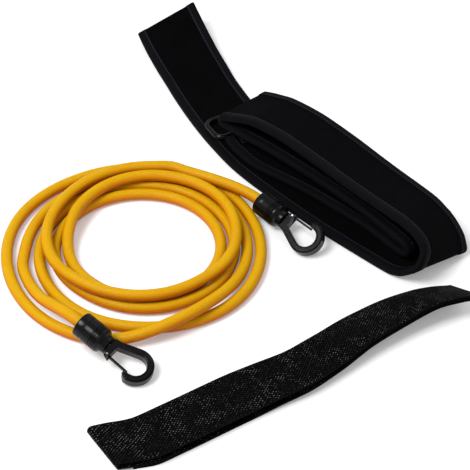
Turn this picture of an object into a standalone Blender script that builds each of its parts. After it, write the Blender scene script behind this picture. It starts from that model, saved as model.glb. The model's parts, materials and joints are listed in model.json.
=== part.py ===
"""Stationary swim tether laid out on a surface: an elastic latex tube in a loose coil with a swivel
snap hook on each end, a padded waist belt folded up with its metal ring, and an anchor strap loop.

Metres, +Z up, the surface at Z = 0. The origin is on the surface, below the middle of all that lies there
apart from the tube.
"""

import math

import bmesh
import bpy
import numpy as np
from mathutils import Euler, Vector

# Clearances and overruns
FIT = 0.0003
CUT_OVERRUN = 0.001
MERGE_DISTANCE = 0.00001

# Tube
TUBE_DIAMETER = 0.009
TUBE_BORE = 0.006
COIL_CENTRE = (-0.068, -0.020)
COIL_INNER_RADIUS = 0.058
LANE_PITCH = 0.0097
LAYER_LIFT = 0.0096
POINTS_PER_TURN = 24
SOFTENING_DEGREES = 20
LEAD_POINT_SPACING_SHARE = 2.3
GAP_SAMPLE_SHARE = 0.25
GAP_SKIP_SHARE = 5.5
LEAST_TUBE_GAP = 0.0004

# The coil's turns, clockwise from the left: degrees, lane counted outwards, layer counted upwards
TURNS = [
    (0, 3.52, 0), (31, 3.3, 0), (60, 2.78, 0), (90, 2.42, 0), (135, 2.15, 0), (158, 2.03, 0), (180, 2.0, 0),
    (200, 2.03, 0.15), (222, 2.25, 0.85), (238, 2.55, 1.12), (252, 2.95, 1.08), (264, 3.35, 0.75), (275, 3.8, 0.25),
    (288, 4.2, 0), (315, 4.7, 0), (345, 4.9, 0),
    (360, 4.98, 0), (378, 5.0, 0), (396, 4.6, 0), (415, 4.1, 0), (450, 3.5, 0), (495, 3.16, 0), (515, 3.03, 0),
    (532, 3.06, 0), (560, 3.15, 0), (576, 3.15, 0), (592, 2.95, 0), (605, 2.72, 0), (621, 2.5, 0), (636, 2.4, 0),
    (659, 2.4, 0), (673, 2.4, 0), (700, 2.42, 0),
    (720, 2.4, 0), (750, 2.1, 0), (810, 1.4, 0), (855, 1.12, 0), (900, 1.0, 0), (937, 0.88, 0), (957, 0.66, 0),
    (990, 0.46, 0), (1013, 0.42, 0), (1035, 0.55, 0), (1060, 1.05, 0),
    (1080, 1.26, 0), (1125, 0.92, 0), (1170, 0.38, 0), (1215, 0.1, 0), (1240, 0, 0), (1260, -0.05, 0),
    (1300, -0.3, 0), (1350, -0.6, 0), (1395, -0.5, 0), (1427, 0, 0),
    (1440, 0.18, 0.25), (1455, 0.35, 0.75), (1470, 0.6, 1.05), (1489, 1.0, 1), (1505, 1.35, 1), (1530, 1.65, 1),
    (1574, 1.68, 1), (1591, 1.5, 1), (1613, 1.2, 1), (1629, 1.0, 1), (1648, 0.6, 1), (1665, 0.2, 1), (1686, 0.08, 1),
    (1708, 0.05, 1), (1734, 0.2, 1), (1759, 0.7, 1), (1779, 1.35, 1),
    (1800, 1.8, 1), (1813, 2.0, 1), (1831, 2.22, 1), (1846, 2.42, 1), (1861, 2.6, 1), (1874, 2.67, 1), (1890, 2.7, 1),
]

# Where the tube runs between the coil and each fitting, as points on its middle line
NEAR_LEAD_ROUTE = [(-0.1300, -0.0938, 0.0183), (-0.1430, -0.0780, 0.0115), (-0.1545, -0.0570, 0.0065)]
FAR_LEAD_ROUTE = [(-0.0434, 0.0605, 0.0141), (-0.0234, 0.0514, 0.0144), (-0.0043, 0.0417, 0.0146)]

# Fittings: the middle of the sleeve's mouth, then roll, tilt and turn in degrees
FITTINGS = {
    "near": {"mouth": (-0.1104, -0.1129, 0.0212), "turn": (6, 15.2, -37)},
    "far": {"mouth": (0.0202, 0.0243, 0.0126), "turn": (210, 3, -47.5)},
}

# Sleeve, with a lip that holds the flared tube and a front wall that holds the stem
SLEEVE_DIAMETER = 0.0196
SLEEVE_LENGTH = 0.0270
SLEEVE_CAVITY_DIAMETER = 0.0124
SLEEVE_NOSE_DIAMETER = 0.0132
SLEEVE_LIP_LENGTH = 0.0030
SLEEVE_FRONT_WALL = 0.0060
SLEEVE_EDGE_ROUNDING = 0.0008
SLEEVE_TAPER_START_SHARE = 0.68
SLEEVE_TAPER_END_SHARE = 0.85
RIB_COUNT = 3
RIB_HEIGHT = 0.0007

# Tube end and the plug that flares it
FLARE = 0.0010
FLARE_LENGTH = 0.0030
PLUG_FLANGE_LENGTH = 0.0014
PLUG_ROOM = 0.0015

# Swivel stem
STEM_DIAMETER = 0.0040
STEM_HEAD_DIAMETER = 0.0092
STEM_HEAD_LENGTH = 0.0020
STEM_END_PLAY = 0.0004
STEM_SEAT_DEPTH = 0.0038

# Hook body, in its own plane: along the stem, then across towards the spine
HOOK_START_GAP = 0.0005
HOOK_BASE_LENGTH = 0.0054
HOOK_BASE_GATE_SIDE = 0.0088
HOOK_BASE_SPINE_SIDE = 0.0076
HOOK_SPINE_ROOT = 0.0021
HOOK_THICKNESS = 0.0064
HOOK_BAR = 0.0054
BOW_RADIUS = 0.0083
BOW_DISTANCE = 0.0185
NOSE_LENGTH = 0.0034
HOOK_EDGE_ROUNDING = 0.0013
BOW_STEPS = 18

# Gate and its pin
GATE_THICKNESS = 0.0016
GATE_HEIGHT = 0.0020
GATE_EYE_DIAMETER = 0.0040
GATE_PIN_DIAMETER = 0.0016
GATE_PIN_FROM_FRONT = 0.0025
GATE_PIN_FROM_SIDE = 0.0023
GATE_OVERLAP = 0.0018
GATE_EYE_STEPS = 12

# Belt
BELT_PLACE = (-0.0272, 0.0910)
BELT_TURN = -43
BELT_WIDTH = 0.057
BELT_FACE_THICKNESS = 0.0018
BELT_PAD_THICKNESS = 0.0018
BINDING_THICKNESS = 0.0006
BINDING_WIDTH = 0.0080
HOOK_PATCH_LENGTH = 0.060
HOOK_PATCH_THICKNESS = 0.0010
ROLL_LENGTH = 0.220
ROLL_HEIGHT = 0.0355
INNER_FOLD_HEIGHT = 0.0205
TAIL_RISE = 0.0120
BELT_STEPS_PER_ROW = 2

# Ring and its keeper
RING_ROD = 0.0045
RING_SLOT_ROOM = 0.003
RING_SLOT_WIDTH = 0.0205
RING_CORNER = 0.0070
RING_TURN = 72
RING_MIDDLE_SHARES = (0.0005, 0.923)
KEEPER_WEBBING = 0.0012
KEEPER_EDGE_GAP = 0.00075
KEEPER_FLAP = 0.018

# Anchor strap
STRAP_PLACE = (-0.0897, -0.2146)
STRAP_TURN = 31
STRAP_WIDTH = 0.038
STRAP_THICKNESS = 0.0018
STRAP_LENGTH = 0.297
STRAP_HOLLOW = 0.0062
STRAP_LAP = 0.045
STRAP_BOW = 0.012
STRAP_STEPS_PER_ROW = 3

TURNED_STEPS = 24
SHARP_DEGREES = 35

TUBE_RADIUS = TUBE_DIAMETER / 2
BELT_CORE = BELT_FACE_THICKNESS + FIT + BELT_PAD_THICKNESS
BELT_THICKNESS = BELT_CORE + 2 * (FIT + BINDING_THICKNESS)
RING_SLOT_LENGTH = BELT_WIDTH + RING_SLOT_ROOM
KEEPER_WIDTH = BELT_WIDTH - 2 * (BINDING_WIDTH + KEEPER_EDGE_GAP)
KEEPER_RADIUS = RING_ROD / 2 + FIT + KEEPER_WEBBING


def clear_scene():
    for old in list(bpy.data.objects):
        bpy.data.objects.remove(old, do_unlink=True)


def new_collection(name, hidden=False):
    made = bpy.data.collections.new(name)
    bpy.context.scene.collection.children.link(made)
    made.hide_render = hidden
    return made


def new_material(name, colour, roughness, metallic=0.0):
    made = bpy.data.materials.new(name)
    made.use_nodes = True
    shader = made.node_tree.nodes["Principled BSDF"]
    shader.inputs["Base Color"].default_value = (*colour, 1.0)
    shader.inputs["Roughness"].default_value = roughness
    shader.inputs["Metallic"].default_value = metallic
    return made


def new_empty(name, parent=None, location=(0, 0, 0), turn=(0, 0, 0)):
    made = bpy.data.objects.new(name, None)
    parts.objects.link(made)
    made.parent = parent
    made.location = location
    made.rotation_euler = Euler([math.radians(angle) for angle in turn])
    return made


def new_object(name, data, material, parent, location=(0, 0, 0), turn=(0, 0, 0)):
    made = bpy.data.objects.new(name, data)
    parts.objects.link(made)
    data.materials.append(material)
    made.parent = parent
    made.location = location
    made.rotation_euler = Euler([math.radians(angle) for angle in turn])
    return made


def mesh_from(name, bm):
    mesh = bpy.data.meshes.new(name)
    bm.to_mesh(mesh)
    bm.free()
    return mesh


def turned(name, profile, material, parent):
    """A body turned about the parent's X axis. The profile is a closed loop of (along, radius), which runs
    back along the outer side first."""
    bm = bmesh.new()
    corners = [bm.verts.new((radius, 0, along)) for along, radius in profile]
    on_axis = profile[0][1] == 0 and profile[-1][1] == 0
    pairs = list(zip(corners, corners[1:])) + ([] if on_axis else [(corners[-1], corners[0])])
    for first, second in pairs:
        bm.edges.new((first, second))
    made = new_object(name, mesh_from(name, bm), material, parent, turn=(0, 90, 0))
    screw = made.modifiers.new("Turn", "SCREW")
    screw.axis = "Z"
    screw.steps = TURNED_STEPS
    screw.render_steps = TURNED_STEPS
    screw.use_merge_vertices = True
    screw.merge_threshold = MERGE_DISTANCE
    made.modifiers.new("Normals", "WEIGHTED_NORMAL")
    return made


def curve_of(name, points, material, parent, depth, resolution, cyclic=False):
    """A round rod or tube along a line of points."""
    curve = bpy.data.curves.new(name, "CURVE")
    curve.dimensions = "3D"
    curve.resolution_u = 1
    curve.bevel_depth = depth
    curve.bevel_resolution = resolution
    curve.use_fill_caps = not cyclic
    spline = curve.splines.new("POLY")
    spline.points.add(len(points) - 1)
    for place, point in zip(points, spline.points):
        point.co = (*place, 1.0)
    spline.use_cyclic_u = cyclic
    spline.use_smooth = True
    return new_object(name, curve, material, parent)


def plate(name, outline, height, material, parent, location=(0, 0, 0), holes=()):
    """A flat plate: the outline in X and Y, filled and given its height in Z, as a welded mesh."""
    curve = bpy.data.curves.new(name, "CURVE")
    curve.dimensions = "2D"
    curve.fill_mode = "BOTH"
    curve.extrude = height / 2
    for loop in (outline, *holes):
        spline = curve.splines.new("POLY")
        spline.points.add(len(loop) - 1)
        for place, point in zip(loop, spline.points):
            point.co = (*place, 0, 1.0)
        spline.use_cyclic_u = True
    flat = new_object(name + "_outline", curve, material, parent, location)
    bpy.context.view_layer.update()
    graph = bpy.context.evaluated_depsgraph_get()
    mesh = bpy.data.meshes.new_from_object(flat.evaluated_get(graph))
    bm = bmesh.new()
    bm.from_mesh(mesh)
    bmesh.ops.remove_doubles(bm, verts=bm.verts, dist=MERGE_DISTANCE)
    bmesh.ops.recalc_face_normals(bm, faces=bm.faces)
    bm.to_mesh(mesh)
    bm.free()
    bpy.data.objects.remove(flat)
    mesh.materials.clear()
    mesh.shade_smooth()
    mesh.set_sharp_from_angle(angle=math.radians(SHARP_DEGREES))
    return new_object(name, mesh, material, parent, location)


def round_edges(piece, width, segments):
    bevel = piece.modifiers.new("Round edges", "BEVEL")
    bevel.width = width
    bevel.segments = segments
    bevel.limit_method = "ANGLE"
    bevel.angle_limit = math.radians(50)


def cut(piece, name, bm, location=(0, 0, 0), turn=(0, 0, 0)):
    """Cuts the bmesh's shape, placed in the frame of the piece's parent, out of the piece."""
    cutter = bpy.data.objects.new(name, mesh_from(name, bm))
    cutters.objects.link(cutter)
    cutter.parent = piece.parent
    cutter.location = location
    cutter.rotation_euler = Euler([math.radians(angle) for angle in turn])
    cutter.hide_render = True
    cutter.display_type = "WIRE"
    boolean = piece.modifiers.new(name, "BOOLEAN")
    boolean.operation = "DIFFERENCE"
    boolean.solver = "EXACT"
    boolean.object = cutter


def rod_shape(radius, length, steps=TURNED_STEPS):
    bm = bmesh.new()
    bmesh.ops.create_cone(
        bm, cap_ends=True, segments=steps, radius1=radius, radius2=radius, depth=length
    )
    return bm


def box_shape(size):
    bm = bmesh.new()
    bmesh.ops.create_cube(bm, size=1)
    bmesh.ops.scale(bm, vec=size, verts=bm.verts)
    return bm


def smooth_line(points, steps):
    """Points along a smooth curve through the given ones, the same number of steps in each stretch. Each
    coordinate stays between its two given values, so a flat stretch stays flat."""
    given = np.array(points, float)
    rises = np.diff(given, axis=0)
    before, after = rises[:-1], rises[1:]
    same_way = before * after > 0
    shared = np.where(same_way, before + after, 1)
    slopes = np.vstack([rises[0], np.where(same_way, 2 * before * after / shared, 0), rises[-1]])
    line = []
    for start, rise, leave, arrive in zip(given, rises, slopes, slopes[1:]):
        for t in np.arange(steps) / steps:
            line.append(start + leave * t + (3 * rise - 2 * leave - arrive) * t**2 + (leave + arrive - 2 * rise) * t**3)
    line.append(given[-1])
    return np.array(line)


def evenly_spaced(line, spacing):
    steps = np.linalg.norm(np.diff(line, axis=0), axis=1)
    run = np.concatenate([[0], np.cumsum(steps)])
    count = max(2, round(run[-1] / spacing)) + 1
    wanted = np.linspace(0, run[-1], count)
    return np.stack([np.interp(wanted, run, line[:, k]) for k in range(3)], axis=1)


def softened(values, reach):
    """Values at each degree, averaged over their neighbours within reach, with the ends kept."""
    window = np.hanning(2 * reach + 1)
    first = 2 * values[0] - values[reach:0:-1]
    last = 2 * values[-1] - values[-2:-2 - reach:-1]
    return np.convolve(np.concatenate([first, values, last]), window / window.sum(), "valid")


def coil_line():
    """The middle line of the coiled tube, with a straight run of one tube diameter at each end."""
    degrees, lanes, layers = np.array(TURNS, float).T
    each = np.arange(degrees[-1] + 1)
    lane = softened(np.interp(each, degrees, lanes), SOFTENING_DEGREES)
    layer = softened(np.interp(each, degrees, layers), SOFTENING_DEGREES)
    wanted = np.arange(0, degrees[-1] + 1, 360 / POINTS_PER_TURN)
    radius = COIL_INNER_RADIUS + LANE_PITCH * np.interp(wanted, each, lane)
    height = TUBE_RADIUS + LAYER_LIFT * np.interp(wanted, each, layer).clip(0)
    angle = np.radians(180 - wanted)
    line = np.stack(
        [COIL_CENTRE[0] + radius * np.cos(angle), COIL_CENTRE[1] + radius * np.sin(angle), height], axis=1
    )
    before_start = line[0] - end_direction(line[1::-1], line[2:0:-1]) * -TUBE_DIAMETER
    after_end = line[-1] + end_direction(line[-2:], line[-3:-1]) * TUBE_DIAMETER
    return np.vstack([before_start, line, after_end])


def end_direction(last_step, step_before):
    """The level direction in which a row of chords leaves its last point."""
    last = unit(last_step[1] - last_step[0])
    turning = last - unit(step_before[1] - step_before[0])
    direction = last + turning / 2
    return unit((direction[0], direction[1], 0))


def unit(vector):
    return np.array(vector) / np.linalg.norm(vector)


def lead_line(mouth, outwards, route, coil_end, coil_outwards):
    """The middle line of a lead from a sleeve's mouth to an end of the coil, straight for one tube diameter
    at both ends and half a fit short of what it meets."""
    first = mouth + outwards * FIT / 2
    last = coil_end + coil_outwards * FIT
    points = [
        first + outwards * TUBE_DIAMETER,
        *route,
        last + coil_outwards * TUBE_DIAMETER,
    ]
    middle = evenly_spaced(smooth_line(points, 12), TUBE_DIAMETER * LEAD_POINT_SPACING_SHARE)
    return np.vstack([first, middle, last])


def least_gap(line):
    """The smallest clear distance between stretches of the tube that lie far apart along it."""
    samples = evenly_spaced(line, TUBE_DIAMETER * GAP_SAMPLE_SHARE)
    skip = round(GAP_SKIP_SHARE / GAP_SAMPLE_SHARE)
    least = math.inf
    for i in range(len(samples) - skip):
        least = min(least, np.linalg.norm(samples[i + skip:] - samples[i], axis=1).min())
    return least - TUBE_DIAMETER


def build_tube(material, parent):
    """The coil and its two leads. The leads' ends follow the fittings."""
    coil = coil_line()
    lines = {"tube_coil": coil}
    for side, route, end, inside in (("near", NEAR_LEAD_ROUTE, 0, 1), ("far", FAR_LEAD_ROUTE[::-1], -1, -2)):
        mouth = np.array(FITTINGS[side]["mouth"])
        roll, tilt, turn = [math.radians(angle) for angle in FITTINGS[side]["turn"]]
        back = -np.array(Euler((roll, tilt, turn)).to_matrix() @ Vector((1, 0, 0)))
        lines["tube_" + side + "_lead"] = lead_line(mouth, back, route, coil[end], unit(coil[end] - coil[inside]))
    whole = np.vstack([lines["tube_near_lead"], coil, lines["tube_far_lead"][::-1]])
    gap = least_gap(whole)
    length = np.linalg.norm(np.diff(whole, axis=0), axis=1).sum()
    print(f"tube length {length:.3f} m, least gap to itself {gap * 1000:.2f} mm, wanted {LEAST_TUBE_GAP * 1000:.1f}")
    curve_of("tube_coil", lines["tube_coil"], material, parent, TUBE_RADIUS, 1)
    for name in ("tube_near_lead", "tube_far_lead"):
        curve_of(name, lines[name], material, parent, TUBE_RADIUS, 3)


def build_sleeve(side, material, parent):
    outer = SLEEVE_DIAMETER / 2
    nose = SLEEVE_NOSE_DIAMETER / 2
    lip = TUBE_RADIUS + FIT
    cavity = SLEEVE_CAVITY_DIAMETER / 2
    taper_start = SLEEVE_LENGTH * SLEEVE_TAPER_START_SHARE
    taper_end = SLEEVE_LENGTH * SLEEVE_TAPER_END_SHARE
    rib_pitch = (SLEEVE_LENGTH - taper_end) / RIB_COUNT
    profile = [(SLEEVE_LENGTH, STEM_DIAMETER / 2 + FIT), (SLEEVE_LENGTH, nose)]
    for rib in range(RIB_COUNT):
        front = SLEEVE_LENGTH - rib * rib_pitch
        for share, rise in ((0.25, 0), (0.35, 1), (0.75, 1), (0.85, 0)):
            profile.append((front - share * rib_pitch, nose + rise * RIB_HEIGHT))
    profile += [
        (taper_end, nose + RIB_HEIGHT),
        ((taper_start + taper_end) / 2, (outer + nose + RIB_HEIGHT) / 2 + SLEEVE_EDGE_ROUNDING / 2),
        (taper_start, outer),
        (SLEEVE_EDGE_ROUNDING, outer),
        (0, outer - SLEEVE_EDGE_ROUNDING),
        (0, lip),
        (SLEEVE_LIP_LENGTH, lip),
        (SLEEVE_LIP_LENGTH, cavity),
        (SLEEVE_LENGTH - SLEEVE_FRONT_WALL, cavity),
        (SLEEVE_LENGTH - SLEEVE_FRONT_WALL, STEM_DIAMETER / 2 + FIT),
    ]
    turned(side + "_sleeve", profile, material, parent)


def stem_head_back():
    """How far the back of the stem's head lies from the sleeve's mouth."""
    return SLEEVE_LENGTH - SLEEVE_FRONT_WALL - STEM_END_PLAY - STEM_HEAD_LENGTH


def build_tube_end(side, materials, parent):
    """The tube's own end inside the sleeve, flared over a plug so that it can't pull back past the lip."""
    outer = TUBE_RADIUS
    bore = TUBE_BORE / 2
    flare_start = SLEEVE_LIP_LENGTH + FIT
    flare_end = flare_start + FLARE_LENGTH
    seat_end = stem_head_back() - PLUG_ROOM - PLUG_FLANGE_LENGTH - FIT
    turned(
        side + "_tube_end",
        [
            (seat_end, outer + FLARE), (flare_end, outer + FLARE), (flare_start, outer), (FIT / 2, outer),
            (FIT / 2, bore), (flare_start, bore), (flare_end, bore + FLARE), (seat_end, bore + FLARE),
        ],
        materials["latex"],
        parent,
    )
    stem = bore - FIT
    head = outer + FLARE
    flange = seat_end + FIT
    turned(
        side + "_plug",
        [
            (flange + PLUG_FLANGE_LENGTH, 0), (flange + PLUG_FLANGE_LENGTH, head), (flange, head),
            (flange, stem + FLARE), (flare_end, stem + FLARE), (flare_start, stem), (FIT / 2 + FLARE, stem),
            (FIT / 2 + FLARE, 0),
        ],
        materials["plastic"],
        parent,
    )


def hook_front():
    """How far the front face of the hook's base lies from the sleeve's mouth."""
    return SLEEVE_LENGTH + HOOK_START_GAP + HOOK_BASE_LENGTH


def build_stem(side, material, parent):
    """The swivel stem: its head bears on the inside of the sleeve's front wall, its end is fixed in the hook."""
    shaft = STEM_DIAMETER / 2
    head = STEM_HEAD_DIAMETER / 2
    head_back = stem_head_back()
    head_front = head_back + STEM_HEAD_LENGTH
    end = SLEEVE_LENGTH + HOOK_START_GAP + STEM_SEAT_DEPTH
    turned(
        side + "_swivel_stem",
        [
            (end, 0), (end, shaft), (head_front, shaft), (head_front, head), (head_back, head), (head_back, 0),
        ],
        material,
        parent,
    )


def tangent_angle(root, radius):
    """Where a line from the root, measured from the bow's middle, touches a circle of this radius there."""
    distance = math.hypot(*root)
    return math.atan2(root[1], root[0]) - math.acos(radius / distance)


def arc(middle, radius, start, end, steps):
    angles = [start + (end - start) * i / steps for i in range(steps + 1)]
    return [(middle[0] + radius * math.cos(angle), middle[1] + radius * math.sin(angle)) for angle in angles]


def hook_outline():
    """The hook seen from its flat side: base, spine, bow and the nose that the gate closes on."""
    front = hook_front()
    back = front - HOOK_BASE_LENGTH
    bow = (front + BOW_DISTANCE, 0)
    outer = BOW_RADIUS + HOOK_BAR
    inner_touch = tangent_angle((front - bow[0], HOOK_SPINE_ROOT), BOW_RADIUS)
    outer_touch = tangent_angle((front - bow[0], HOOK_BASE_SPINE_SIDE), outer)
    down = -math.pi / 2
    inner = arc(bow, BOW_RADIUS, inner_touch, down, BOW_STEPS)
    tip = bow[0] - NOSE_LENGTH
    nose = [(tip, -BOW_RADIUS), (tip, -BOW_RADIUS - HOOK_BAR / 2), (bow[0], -outer)]
    return (
        [(back, -SLEEVE_NOSE_DIAMETER / 2), (front, -HOOK_BASE_GATE_SIDE), (front, HOOK_SPINE_ROOT)]
        + inner
        + nose
        + arc(bow, outer, down, outer_touch, BOW_STEPS)[1:]
        + [(front, HOOK_BASE_SPINE_SIDE), (back, SLEEVE_NOSE_DIAMETER / 2)]
    )


def gate_axis():
    return (hook_front() - GATE_PIN_FROM_FRONT, -HOOK_BASE_GATE_SIDE + GATE_PIN_FROM_SIDE)


def build_hook(side, materials, parent):
    hook = plate(side + "_hook", hook_outline(), HOOK_THICKNESS, materials["plastic"], parent)
    round_edges(hook, HOOK_EDGE_ROUNDING, 3)
    seat = STEM_SEAT_DEPTH + FIT
    start = hook_front() - HOOK_BASE_LENGTH
    cut(
        hook, side + "_stem_seat", rod_shape(STEM_DIAMETER / 2 + FIT, seat + CUT_OVERRUN),
        location=(start + (seat - CUT_OVERRUN) / 2, 0, 0), turn=(0, 90, 0),
    )
    slot_back = GATE_PIN_FROM_FRONT + GATE_EYE_DIAMETER / 2 + FIT
    slot_side = GATE_PIN_FROM_SIDE + GATE_EYE_DIAMETER / 2 + FIT
    cut(
        hook, side + "_gate_slot",
        box_shape((slot_back + CUT_OVERRUN, slot_side + CUT_OVERRUN, GATE_HEIGHT + 2 * FIT)),
        location=(
            hook_front() - (slot_back - CUT_OVERRUN) / 2,
            -HOOK_BASE_GATE_SIDE + (slot_side - CUT_OVERRUN) / 2,
            0,
        ),
    )
    cut(
        hook, side + "_pin_hole", rod_shape(GATE_PIN_DIAMETER / 2 + FIT, HOOK_THICKNESS + CUT_OVERRUN),
        location=(*gate_axis(), 0),
    )


def gate_outline():
    """The gate seen from its flat side, with its eye round the pin at the origin and its tip inside the nose."""
    axis = gate_axis()
    tip_x = hook_front() + BOW_DISTANCE - NOSE_LENGTH + GATE_OVERLAP - axis[0]
    tip_y = -BOW_RADIUS + FIT + GATE_THICKNESS / 2 - axis[1]
    eye = GATE_EYE_DIAMETER / 2
    half = GATE_THICKNESS / 2
    join = math.asin(half / eye)
    return arc((0, 0), eye, join, 2 * math.pi - join, GATE_EYE_STEPS) + [(tip_x, tip_y - half), (tip_x, tip_y + half)]


def build_gate(side, materials, swivel):
    axis = gate_axis()
    pin_length = HOOK_THICKNESS - 2 * FIT
    new_object(
        side + "_gate_pin", mesh_from(side + "_gate_pin", rod_shape(GATE_PIN_DIAMETER / 2, pin_length)),
        materials["steel"], swivel, location=(*axis, 0),
    )
    hinge = new_empty(side + "_gate_hinge", swivel, location=(*axis, 0))
    hole = arc((0, 0), GATE_PIN_DIAMETER / 2 + FIT, 0, 2 * math.pi, GATE_EYE_STEPS)[:-1]
    plate(side + "_gate", gate_outline(), GATE_HEIGHT, materials["plastic"], hinge, holes=[hole])


def build_fitting(side, materials, parent):
    place = FITTINGS[side]
    fixed = new_empty(side + "_fitting", parent, place["mouth"], place["turn"])
    swivel = new_empty(side + "_swivel", fixed)
    build_sleeve(side, materials["plastic"], fixed)
    build_tube_end(side, materials, fixed)
    build_stem(side, materials["steel"], swivel)
    build_hook(side, materials, swivel)
    build_gate(side, materials, swivel)


def stations_along(rows, steps):
    """Places along a folded band: its middle, its direction across and its direction out of its face.

    A row gives the middle's x, y and z, the direction across as degrees in plan, and its fall in degrees."""
    table = smooth_line(rows, steps)
    middles = table[:, :3]
    along = np.gradient(middles, axis=0)
    stations = []
    for middle, forward, (plan, fall) in zip(middles, along, np.radians(table[:, 3:])):
        across = np.array([math.cos(plan) * math.cos(fall), math.sin(plan) * math.cos(fall), -math.sin(fall)])
        stations.append((middle, across, unit(np.cross(forward, across))))
    return stations


def swept(name, stations, section, thickness, material, parent):
    """A sheet swept along the stations. The section's points are (across, out), and the sheet is half its
    thickness either side of them."""
    bm = bmesh.new()
    long_cells = len(stations) - 1
    cross_cells = len(section) - 1
    bmesh.ops.create_grid(bm, x_segments=long_cells, y_segments=cross_cells, size=0.5)
    for corner in bm.verts:
        middle, across, out = stations[round((corner.co.x + 0.5) * long_cells)]
        offset = section[round((corner.co.y + 0.5) * cross_cells)]
        corner.co = Vector(middle + across * offset[0] + out * offset[1])
    made = new_object(name, mesh_from(name, bm), material, parent)
    solid = made.modifiers.new("Thickness", "SOLIDIFY")
    solid.thickness = thickness
    solid.offset = 0
    return made


def belt_rows():
    """The belt's middle line from the tail to the end that holds the ring, in the belt's own frame: shares of
    the roll's length and of the belt's width, a height, degrees in plan across, and degrees of fall."""
    floor = BELT_THICKNESS / 2
    low = 3 * floor + FIT
    bar = BELT_THICKNESS + FIT + KEEPER_RADIUS
    inner = INNER_FOLD_HEIGHT
    top = ROLL_HEIGHT
    rise = top - floor
    fold = inner - low
    rows = [
        (-0.633, 1.757, floor + TAIL_RISE, 66, -20),
        (-0.582, 1.667, floor + 0.76 * TAIL_RISE, 66, -16),
        (-0.530, 1.576, floor + 0.54 * TAIL_RISE, 66, -12),
        (-0.477, 1.485, floor + 0.36 * TAIL_RISE, 66, -8),
        (-0.424, 1.394, floor + 0.22 * TAIL_RISE, 66, -5),
        (-0.335, 1.245, floor + 0.09 * TAIL_RISE, 67, -2),
        (-0.248, 1.096, floor, 68, 0),
        (-0.114, 0.889, floor, 71, 0),
        (0.021, 0.716, floor, 76, 0),
        (0.170, 0.575, floor, 83, 0),
        (0.316, 0.515, floor, 86, 0),
        (0.618, 0.460, floor, 88, 0),
        (0.864, 0.474, floor, 90, 0),
        (0.930, 0.485, floor + 0.04 * rise, 86, 2.5),
        (0.978, 0.505, floor + 0.14 * rise, 82, 9),
        (1.006, 0.535, floor + 0.32 * rise, 84, 16),
        (0.998, 0.580, floor + 0.56 * rise, 90, 19),
        (0.967, 0.625, floor + 0.79 * rise, 95, 20),
        (0.914, 0.660, floor + 0.94 * rise, 96, 19),
        (0.845, 0.695, top, 95, 17),
        (0.645, 0.765, top, 90, 15),
        (0.430, 0.865, top, 90, 13),
        (0.250, 0.925, top - 0.02 * rise, 90, 12),
        (0.140, 0.920, top - 0.07 * rise, 90, 11),
        (0.080, 0.890, top - 0.15 * rise, 90, 9.5),
        (0.042, 0.868, top - 0.22 * rise, 90, 8),
        (0.020, 0.855, top - 0.26 * rise, 90, 8),
        (0.0085, 0.850, inner + 0.48 * fold, 90, 8),
        (0.005, 0.848, inner + 0.28 * fold, 90, 8),
        (0.0085, 0.846, inner + 0.08 * fold, 90, 8),
        (0.020, 0.845, inner, 90, 8),
        (0.060, 0.855, inner, 90, 7),
        (0.130, 0.870, inner, 90, 6),
        (0.236, 0.890, inner, 90, 6),
        (0.464, 0.870, inner, 90, 7),
        (0.690, 0.820, inner, 90, 7),
        (0.818, 0.770, inner, 90, 5),
        (0.868, 0.750, inner - 0.03 * fold, 90, 4),
        (0.899, 0.740, inner - 0.18 * fold, 90, 3),
        (0.911, 0.735, inner - 0.50 * fold, 90, 2),
        (0.899, 0.740, inner - 0.82 * fold, 90, 1),
        (0.868, 0.752, inner - 0.97 * fold, 90, 0),
        (0.818, 0.780, low, 90, 0),
        (0.690, 0.830, low, 90, 0),
        (0.464, 0.815, low, 89, 0),
        (0.330, 0.760, low, 85, 0),
        (0.225, 0.710, low, 80, 0),
    ]
    placed = [(along * ROLL_LENGTH, across * BELT_WIDTH, *rest) for along, across, *rest in rows]
    end = ring_bar_middle() - ring_across() * KEEPER_RADIUS
    before = ring_bar_middle() - ring_across() * (KEEPER_FLAP + KEEPER_RADIUS)
    return placed + [(*before[:2], bar, RING_TURN, 0), (*end[:2], bar, RING_TURN, 0)]


def ring_across():
    """The direction in plan from the ring's held bar to its free bar."""
    angle = math.radians(RING_TURN + 90)
    return np.array([math.cos(angle), math.sin(angle), 0])


def ring_bar_middle():
    """The middle of the bar that the keeper holds, in the belt's own frame."""
    middle = np.array([RING_MIDDLE_SHARES[0] * ROLL_LENGTH, RING_MIDDLE_SHARES[1] * BELT_WIDTH, 0])
    height = np.array([0, 0, BELT_THICKNESS + FIT + KEEPER_RADIUS])
    return middle + height - ring_across() * (RING_SLOT_WIDTH + RING_ROD) / 2


def build_belt(materials, parent):
    stations = stations_along(belt_rows(), BELT_STEPS_PER_ROW)
    core_half = BELT_WIDTH / 2 - BINDING_THICKNESS - FIT
    inner = BELT_WIDTH / 2 - BINDING_WIDTH
    face_out = (FIT + BELT_FACE_THICKNESS) / 2
    pad_out = -(FIT + BELT_PAD_THICKNESS) / 2
    for name, out, thickness, material in (
        ("belt_face", face_out, BELT_FACE_THICKNESS, materials["belt"]),
        ("belt_pad", pad_out, BELT_PAD_THICKNESS, materials["pad"]),
    ):
        section = [(-core_half, out), (-inner, out), (inner, out), (core_half, out)]
        swept(name, stations, section, thickness, material, parent)
    edge = BELT_WIDTH / 2 - BINDING_THICKNESS / 2
    out = (BELT_THICKNESS - BINDING_THICKNESS) / 2
    # A right-angled corner is thickened along its diagonal, so it is set out to keep the tape's outside flat
    drawn_in = BINDING_THICKNESS / 2 * (1 - math.cos(math.radians(45)))
    corner = (edge + drawn_in, out + drawn_in)
    for name, sign in (("belt_binding_near", -1), ("belt_binding_far", 1)):
        half = [(sign * inner, out), (sign * corner[0], corner[1])]
        section = half + [(across, -up) for across, up in reversed(half)]
        swept(name, stations, section, BINDING_THICKNESS, materials["binding"], parent)


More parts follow.
